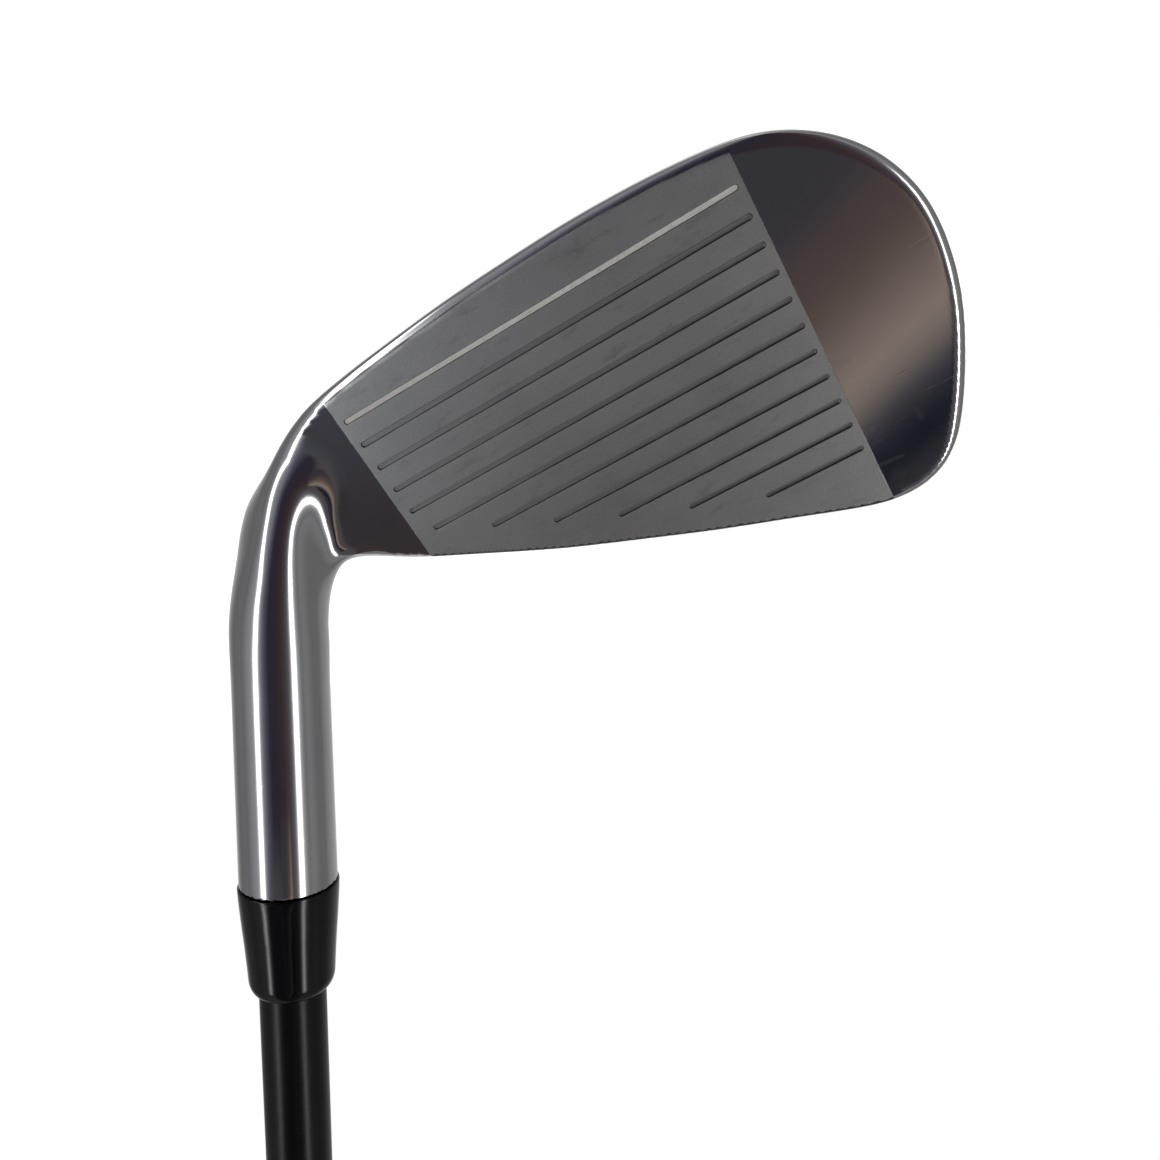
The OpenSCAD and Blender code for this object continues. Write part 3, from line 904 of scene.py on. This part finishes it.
def xyz(t, v):
    n = t.node("ShaderNodeSeparateXYZ")
    t.put(n.inputs[0], v)
    return n.outputs[0], n.outputs[1], n.outputs[2]


def scratches(t, vec, rot, scale, stretch, lo, hi):
    """thin straight marks in one direction"""
    v = t.mapping(vec, (3.1, 1.7, 0.4), rot, (scale, scale * stretch, scale))
    n = t.noise(v, 1.0, 2.0, 0.5)
    return t.sm(n, lo, hi)


def steel():
    m, t, b = new_mat("head_steel_finish")
    x, y, z = xyz(t, t.face)
    # the grit-blasted hitting area lies between two polished fields
    heel = t.math("MULTIPLY_ADD", z, -0.0252, 0.48)
    wav = t.noise(t.face, 2.2, 3.0)
    jit = t.math("MULTIPLY_ADD", wav, 0.12, -0.06)
    xx = t.math("ADD", x, jit)
    d0 = t.math("SUBTRACT", xx, heel)
    m0 = t.lin(d0, -0.06, 0.06)
    m1 = t.lin(xx, 57.71, 57.59)
    m2 = t.math("MAXIMUM", t.lin(y, -0.12, -0.05), t.math("MULTIPLY", t.lin(y, -0.7, -0.6), t.lin(z, -1.3, -1.2)))
    m2 = t.math("MULTIPLY", m2, t.lin(y, -0.7, -0.6))
    front = t.math("MULTIPLY", t.math("MULTIPLY", m0, m1), m2)
    # and the cavity floor is bead-blasted
    cav = t.math("MULTIPLY", t.lin(y, -3.3, -3.0), t.lin(y, -2.0, -2.3))
    cav = t.math("MULTIPLY", cav, t.lin(z, 8.0, 9.0))
    # a mask for the bottoms of the score lines
    low = t.lin(y, -0.12, -0.30)
    cloud = t.noise(t.face, 0.06, 4.0, 0.6)
    fine = t.noise(t.face, 9.0, 3.0, 0.7)
    grit = t.noise(t.face, 4.2, 4.0, 0.75)
    pit = t.voronoi(t.face, 5.5)
    # polished colour and roughness
    pol_c = t.ramp(cloud, [(0.3, (0.60, 0.60, 0.605)), (0.7, (0.655, 0.65, 0.645))])
    bl_c = t.ramp(t.math("MULTIPLY_ADD", grit, 0.6, t.math("MULTIPLY", cloud, 0.4)), [(0.30, (0.46, 0.480, 0.464)), (0.5, (0.62, 0.640, 0.624)), (0.70, (0.72, 0.738, 0.722))])
    wear = t.sm(t.noise(t.mapping(t.face, (5, 0, 2), scale=(0.05, 0.05, 0.11)), 1.0, 4.0, 0.6), 0.45, 0.72)
    bl_c = t.mix(t.math("MULTIPLY", wear, 0.25), bl_c, (0.76, 0.775, 0.76, 1))
    # faint darker scuffs left by turf and balls
    scuff = t.sm(t.noise(t.mapping(t.face, (1, 0, 4), (0, 0.5, 0), (0.16, 0.16, 0.5)), 1.0, 5.0, 0.7), 0.54, 0.70)
    bl_c = t.mix(t.math("MULTIPLY", scuff, 0.42), bl_c, (0.34, 0.345, 0.342, 1))
    # painted shade darkens the walls of the score lines, and painted light gives their floors a lighter grey
    wall_shade = t.math("MULTIPLY", t.lin(y, -0.015, -0.05), t.lin(y, -0.40, -0.34))
    bl_c = t.mix(t.math("MULTIPLY", wall_shade, 0.92), bl_c, (0.06, 0.06, 0.062, 1))
    # painted light: a lighter grey on the floors of the score lines, making up for their shade
    bl_c = t.mix(t.math("MULTIPLY", t.lin(y, -0.38, -0.44), t.lin(y, -0.7, -0.6)), bl_c, (0.52, 0.53, 0.52, 1))
    scr_a = scratches(t, t.face, (0, 0.5, 0.2), 0.16, 26, 0.66, 0.72)
    scr_b = scratches(t, t.face, (0, -0.9, 0.1), 0.12, 30, 0.68, 0.73)
    scr_c = scratches(t, t.obj, (0.3, 0.1, 1.2), 0.10, 34, 0.68, 0.74)
    scr = t.math("MAXIMUM", t.math("MAXIMUM", scr_a, scr_b), scr_c)
    pol_r = t.math("MULTIPLY_ADD", cloud, 0.05, 0.045)
    pol_r = t.math("ADD", pol_r, t.math("MULTIPLY", scr, 0.035))
    bl_r = t.math("MULTIPLY_ADD", grit, 0.16, 0.30)
    bl = t.math("MAXIMUM", front, cav)
    col = t.mix(bl, pol_c, bl_c)
    rgh = t.fmix(bl, pol_r, bl_r)
    inlow = t.math("MULTIPLY", t.math("MULTIPLY", low, m0), t.lin(y, -0.7, -0.55))
    t.put(b.inputs["Base Color"], col)
    t.put(b.inputs["Roughness"], rgh)
    b.inputs["Metallic"].default_value = 1.0
    # relief
    gh = t.math("ADD", t.math("MULTIPLY", fine, 0.5), t.math("MULTIPLY", pit, 0.6))
    gh = t.math("MULTIPLY", gh, bl)
    n1 = t.bump(gh, 0.55, 0.00003)
    ph = t.math("ADD", t.math("MULTIPLY", t.noise(t.face, 1.1, 2.0), 0.08), t.math("MULTIPLY", scr, -0.22))
    n2 = t.bump(t.math("MULTIPLY", ph, t.math("SUBTRACT", 1.0, bl)), 0.25, 0.000012, n1)
    t.put(b.inputs["Normal"], n2)
    return m


def line_paint():
    m, t, b = new_mat("line_paint_finish")
    n = t.noise(t.face, 1.6, 4.0, 0.6)
    k = t.noise(t.face, 7.0, 3.0, 0.7)
    chip = t.sm(t.noise(t.mapping(t.face, (2, 0, 9), scale=(0.6, 1, 1)), 1.3, 3.0), 0.66, 0.74)
    c = t.ramp(n, [(0.3, (0.80, 0.79, 0.74)), (0.7, (0.93, 0.92, 0.88))])
    c = t.mix(chip, c, (0.50, 0.49, 0.46, 1))
    t.put(b.inputs["Base Color"], c)
    t.put(b.inputs["Roughness"], t.math("MULTIPLY_ADD", k, 0.3, 0.35))
    t.put(b.inputs["Normal"], t.bump(t.math("ADD", k, n), 0.4, 0.00003))
    return m


def ferrule_mat():
    m, t, b = new_mat("ferrule_finish")
    v = t.mapping(t.axis, scale=(0.25, 0.25, 3.0))
    turn = t.noise(v, 1.0, 3.0, 0.6)
    n = t.noise(t.axis, 0.35, 4.0, 0.6)
    scr = scratches(t, t.axis, (0.1, 0.2, 0.9), 0.35, 14, 0.68, 0.76)
    c = t.ramp(n, [(0.3, (0.0022, 0.0024, 0.003)), (0.7, (0.0042, 0.0042, 0.0048))])
    t.put(b.inputs["Base Color"], c)
    r = t.math("MULTIPLY_ADD", turn, 0.05, 0.075)
    t.put(b.inputs["Roughness"], t.math("ADD", r, t.math("MULTIPLY", scr, 0.12)))
    b.inputs["IOR"].default_value = 1.42
    t.put(b.inputs["Normal"], t.bump(t.math("ADD", turn, t.math("MULTIPLY", scr, -0.4)), 0.25, 0.000012))
    return m


def shaft_mat():
    m, t, b = new_mat("shaft_finish")
    v = t.mapping(t.axis, scale=(0.5, 0.5, 0.02))
    streak = t.noise(v, 1.0, 4.0, 0.6)
    n = t.noise(t.axis, 0.12, 4.0, 0.6)
    peel = t.noise(t.axis, 1.1, 2.0, 0.5)
    scr = scratches(t, t.axis, (0.2, 0.1, 0.7), 0.10, 30, 0.68, 0.75)
    c = t.ramp(n, [(0.3, (0.0022, 0.0023, 0.003)), (0.7, (0.0046, 0.0046, 0.0055))])
    t.put(b.inputs["Base Color"], c)
    r = t.math("MULTIPLY_ADD", streak, 0.14, 0.21)
    t.put(b.inputs["Roughness"], t.math("ADD", r, t.math("MULTIPLY", scr, 0.12)))
    b.inputs["IOR"].default_value = 1.34
    h = t.math("ADD", t.math("MULTIPLY", peel, 0.5), t.math("MULTIPLY", scr, -0.5))
    t.put(b.inputs["Normal"], t.bump(h, 0.2, 0.00002))
    return m


def rubber(name, lo, hi, r0, r1, scale, strength):
    m, t, b = new_mat(name)
    n = t.noise(t.obj, 0.05, 4.0, 0.6)
    k = t.noise(t.obj, scale, 4.0, 0.7)
    g = t.voronoi(t.obj, scale * 1.6)
    dust = t.sm(t.noise(t.obj, 0.25, 5.0, 0.7), 0.52, 0.75)
    c = t.ramp(t.math("MULTIPLY_ADD", k, 0.4, t.math("MULTIPLY", n, 0.6)), [(0.3, lo), (0.7, hi)])
    c = t.mix(t.math("MULTIPLY", dust, 0.18), c, (0.10, 0.097, 0.09, 1))
    t.put(b.inputs["Base Color"], c)
    t.put(b.inputs["Roughness"], t.math("MULTIPLY_ADD", k, r1 - r0, r0))
    t.put(b.inputs["Normal"], t.bump(t.math("ADD", k, t.math("MULTIPLY", g, 0.5)), strength, 0.00008))
    return m


def brushed(name, lo, hi, rough, direction):
    m, t, b = new_mat(name)
    v = t.mapping(t.face, scale=direction)
    br = t.noise(v, 1.0, 4.0, 0.7)
    n = t.noise(t.face, 0.15, 4.0, 0.6)
    scr = scratches(t, t.face, (0.1, 0.6, 0.3), 0.14, 30, 0.66, 0.74)
    c = t.ramp(t.math("MULTIPLY_ADD", br, 0.5, t.math("MULTIPLY", n, 0.5)), [(0.3, lo), (0.7, hi)])
    t.put(b.inputs["Base Color"], c)
    b.inputs["Metallic"].default_value = 1.0
    t.put(b.inputs["Roughness"], t.math("MULTIPLY_ADD", br, 0.16, rough))
    t.put(b.inputs["Normal"], t.bump(t.math("ADD", br, t.math("MULTIPLY", scr, -0.6)), 0.3, 0.00002))
    return m


def cloudy(name, lo, hi, rough, metal=0.0, scale=1.4):
    m, t, b = new_mat(name)
    n = t.noise(t.obj, 0.2, 4.0, 0.6)
    k = t.noise(t.obj, scale, 4.0, 0.65)
    c = t.ramp(t.math("MULTIPLY_ADD", k, 0.5, t.math("MULTIPLY", n, 0.5)), [(0.3, lo), (0.7, hi)])
    t.put(b.inputs["Base Color"], c)
    b.inputs["Metallic"].default_value = metal
    t.put(b.inputs["Roughness"], t.math("MULTIPLY_ADD", k, 0.25, rough))
    t.put(b.inputs["Normal"], t.bump(k, 0.35, 0.00005))
    return m


MATS = {
    "head_steel": steel(),
    "line_paint": line_paint(),
    "badge_metal": brushed("badge_finish", (0.36, 0.37, 0.39), (0.55, 0.56, 0.58), 0.20, (0.10, 1.0, 4.5)),
    "badge_rubber": rubber("badge_rubber_finish", (0.012, 0.012, 0.013), (0.03, 0.03, 0.031), 0.55, 0.75, 3.0, 0.5),
    "adhesive_film": cloudy("adhesive_finish", (0.55, 0.53, 0.46), (0.72, 0.70, 0.62), 0.45),
    "damper_elastomer": rubber("damper_finish", (0.010, 0.010, 0.011), (0.024, 0.024, 0.026), 0.40, 0.62, 2.2, 0.35),
    "tungsten": brushed("tungsten_finish", (0.20, 0.20, 0.21), (0.34, 0.34, 0.345), 0.22, (3.0, 3.0, 0.6)),
    "tip_brass": cloudy("brass_finish", (0.55, 0.38, 0.14), (0.72, 0.53, 0.24), 0.22, 1.0),
    "epoxy": cloudy("epoxy_finish", (0.45, 0.42, 0.26), (0.62, 0.59, 0.40), 0.25),
    "ferrule_black": ferrule_mat(),
    "shaft_black": shaft_mat(),
    "grip_tape_paper": cloudy("grip_tape_finish", (0.62, 0.59, 0.50), (0.78, 0.75, 0.67), 0.7),
    "grip_rubber": rubber("grip_finish", (0.010, 0.010, 0.0105), (0.026, 0.026, 0.027), 0.50, 0.72, 1.8, 0.6),
    "cap_rubber": rubber("cap_finish", (0.016, 0.016, 0.017), (0.036, 0.036, 0.037), 0.42, 0.60, 1.8, 0.4),
}
DONE = [(head, "iron_head", "head_steel"), (paint, "scoreline_paint", "line_paint"), (badge, "cavity_badge", "badge_metal"),
        (backing, "badge_backing", "badge_rubber"), (tape, "badge_tape", "adhesive_film"), (damper, "cavity_damper", "damper_elastomer"),
        (weight, "toe_weight", "tungsten"), (ferrule, "ferrule", "ferrule_black"), (shaft, "shaft", "shaft_black"),
        (grip, "grip_sleeve", "grip_rubber"), (cap, "grip_cap", "cap_rubber")]
for ob, nd, sl in DONE:
    ob.data.materials.append(MATS[sl])
    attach(ob, "root")
    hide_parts(nd)
    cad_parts[nd].hide_render = True
    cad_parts[nd].hide_viewport = True
for nd, sl in (("tip_weight", "tip_brass"), ("hosel_epoxy", "epoxy"), ("grip_tape", "grip_tape_paper")):
    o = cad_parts[nd]
    o.data.materials.clear()
    o.data.materials.append(MATS[sl])

# ------------------------------------------------------------ floor and light
bpy.ops.mesh.primitive_plane_add(size=60.0, location=(0, 0, -0.00002))
floor = bpy.context.object
floor.name = "floor"
floor.visible_glossy = False
fm = bpy.data.materials.new("floor_finish")
fm.use_nodes = True
fm.node_tree.nodes.clear()
t = Tree(fm.node_tree)
out = t.node("ShaderNodeOutputMaterial")
lp = t.node("ShaderNodeLightPath")
dif = t.node("ShaderNodeBsdfDiffuse")
fo = t.node("ShaderNodeTexCoord").outputs["Object"]
fn = t.noise(fo, 9.0, 4.0)
t.put(dif.inputs[0], t.ramp(fn, [(0.3, (0.50, 0.50, 0.50)), (0.7, (0.52, 0.52, 0.52))]))
em = t.node("ShaderNodeEmission")
t.put(em.inputs[0], (0.925, 0.925, 0.925, 1))
add = t.node("ShaderNodeAddShader")
t.put(add.inputs[0], dif.outputs[0])
t.put(add.inputs[1], em.outputs[0])
em2 = t.node("ShaderNodeEmission")
t.put(em2.inputs[0], (0.22, 0.22, 0.225, 1))
ms = t.node("ShaderNodeMixShader")
t.put(ms.inputs[0], lp.outputs["Is Camera Ray"])
t.put(ms.inputs[1], em2.outputs[0])
t.put(ms.inputs[2], add.outputs[0])
t.put(out.inputs[0], ms.outputs[0])
floor.data.materials.append(fm)

sc = bpy.context.scene
sc.view_settings.view_transform = "Standard"
sc.view_settings.look = "None"
world = bpy.data.worlds.new("studio")
sc.world = world
world.use_nodes = True
world.node_tree.nodes.clear()
t = Tree(world.node_tree)
out = t.node("ShaderNodeOutputWorld")
bg = t.node("ShaderNodeBackground")
D = t.node("ShaderNodeTexCoord").outputs["Generated"]
V0, E1 = (0.4478, 0.8607, 0.2421), (0.7572, -0.509, 0.4094)
dv = t.vmath("DOT_PRODUCT", D, V0)
de = t.vmath("DOT_PRODUCT", D, E1)
da = t.vmath("DOT_PRODUCT", D, tuple(AX.tolist()))
ph = t.math("MULTIPLY", t.math("ARCTAN2", de, dv), 180 / pi)
al = t.math("MULTIPLY", t.math("ARCSINE", da), 180 / pi)


def band(x, a, b, soft):
    return t.math("MULTIPLY", t.sm(x, a - soft, a + soft), t.sm(x, b + soft, b - soft))


def gau(x, c, w):
    """a soft peak of half width w about c"""
    u = t.math("DIVIDE", t.math("SUBTRACT", x, c), w)
    return t.math("EXPONENT", t.math("MULTIPLY", t.math("MULTIPLY", u, u), -1.0))


def peak(x, c):
    """a strip light: a bright core with a soft skirt"""
    return t.math("ADD", t.math("MULTIPLY", gau(x, c, 4.3), 5.2), t.math("MULTIPLY", gau(x, c, 8.5), 0.42))


def mul(*v):
    r = v[0]
    for k in v[1:]:
        r = t.math("MULTIPLY", r, k)
    return r


# soft grey room round the sides, and a dark zone in front
ROOM = [(-180, .80, .80, .80), (-150, .35, .35, .35), (-140, .24, .24, .24), (-130, .175, .175, .18), (-110, .20, .20, .207),
        (-100, .185, .185, .195), (-90, .25, .25, .27), (-80, .33, .33, .35), (-66, .33, .33, .36), (-50, .24, .24, .28), (-40, .10, .095, .125),
        (-30, .034, .031, .047), (-14, .040, .029, .042), (0, .054, .037, .040), (10, .078, .062, .070), (20, .115, .115, .135),
        (34, .33, .33, .34), (42, .33, .33, .34), (50, .21, .215, .225), (60, .26, .26, .265), (70, .23, .23, .235), (80, .185, .185, .19),
        (100, .19, .19, .195), (110, .27, .27, .27), (130, .36, .36, .36), (150, .46, .46, .46), (180, .78, .78, .78)]
room = t.ramp(t.lin(ph, -180, 180), [((a + 180) / 360, (r, g, b_)) for a, r, g, b_ in ROOM])
up = mul(t.sm(al, 20, 28), t.sm(ph, -42, -32), t.sm(ph, 26, 12))
room = t.mix(up, room, (0.10, 0.088, 0.095, 1))
# a dark corner that the neck and the heel end of the face look at
CORNER = [(4, .12, .125, .14), (20, .085, .09, .105), (34, .070, .074, .090), (41, .058, .056, .068), (44, .048, .040, .045), (50, .060, .045, .045)]
corner = t.ramp(t.lin(al, 0, 50), [(a / 50, (r, g, b_)) for a, r, g, b_ in CORNER])
dz = mul(t.sm(al, 20, 30), t.sm(ph, -55, -46), t.sm(ph, -16, -27))
room = t.mix(dz, room, corner)
# the warm patch that the toe end of the face looks at
w = t.math("MULTIPLY_ADD", t.math("SUBTRACT", al, 33.0), 0.75, ph)
TOE = [(-14, .050, .050, .060), (-10.5, .055, .052, .064), (-8.4, .09, .066, .066), (-5, .12, .085, .078), (-3, .17, .13, .115), (-1, .25, .19, .17),
       (1, .33, .265, .22), (2.2, .28, .23, .20), (3.2, .20, .17, .16), (4.3, .075, .07, .085), (6.0, .020, .024, .038), (8, .006, .008, .016), (10, .04, .04, .05)]
toe = t.ramp(t.lin(w, -14, 10), [((a + 14) / 24, (r, g, b_)) for a, r, g, b_ in TOE])
mt = mul(t.sm(ph, -16, -12), t.sm(ph, 9, 6), t.sm(al, 19, 22), t.sm(al, 50, 46))
room = t.mix(mt, room, toe)
# two strip lights along the shaft's direction
pc = t.math("ADD", -61.0, t.lin(al, -40, -2, -34, 0))
s1 = mul(peak(ph, pc), t.sm(al, -42, -28), t.sm(al, 42, 34))
s2 = mul(peak(ph, 31.0), t.sm(al, -30, -10), t.sm(al, 46, 36))
strips = t.math("ADD", s1, s2)
lit = t.vmath("SCALE", (1.0, 1.0, 1.0))
t.put(lit.node.inputs["Scale"], strips)
env = t.vmath("ADD", room, lit)
lp = t.node("ShaderNodeLightPath")
cam_white = t.mix(lp.outputs["Is Camera Ray"], env, (1.0, 1.0, 1.0, 1))
t.put(bg.inputs[0], cam_white)
t.put(out.inputs[0], bg.outputs[0])

# a large soft light overhead, for the floor and the rubber parts
ld = bpy.data.lights.new("overhead_softbox", "AREA")
ld.shape = "RECTANGLE"
ld.size, ld.size_y = 2.4, 1.6
ld.energy = 18.0
lo_ = bpy.data.objects.new("overhead_softbox", ld)
lo_.location = (-0.4, -0.9, 2.6)
lo_.rotation_euler = (Vector((-0.1, 0.0, 0.2)) - lo_.location).to_track_quat("-Z", "Y").to_euler()
lo_.visible_camera = False
lo_.visible_glossy = False
sc.collection.objects.link(lo_)

# -------------------------------------------------------------------- camera
cd = bpy.data.cameras.new("camera")
cam = bpy.data.objects.new("camera", cd)
sc.collection.objects.link(cam)
cd.sensor_width = 36.0
cd.lens = 29.907
cd.clip_start, cd.clip_end = 0.004, 100.0
rt, upv, fw = Vector((0.8601, -0.2255, 0.4576)), Vector((0.437, -0.1373, -0.8889)), Vector((-0.2633, -0.9645, 0.0196))
M3 = Matrix((rt.normalized(), upv.normalized(), (-fw).normalized())).transposed()
cam.matrix_world = Matrix.Translation(Vector((59.908, 118.028, 35.904)) * MM) @ M3.to_4x4()
sc.camera = cam
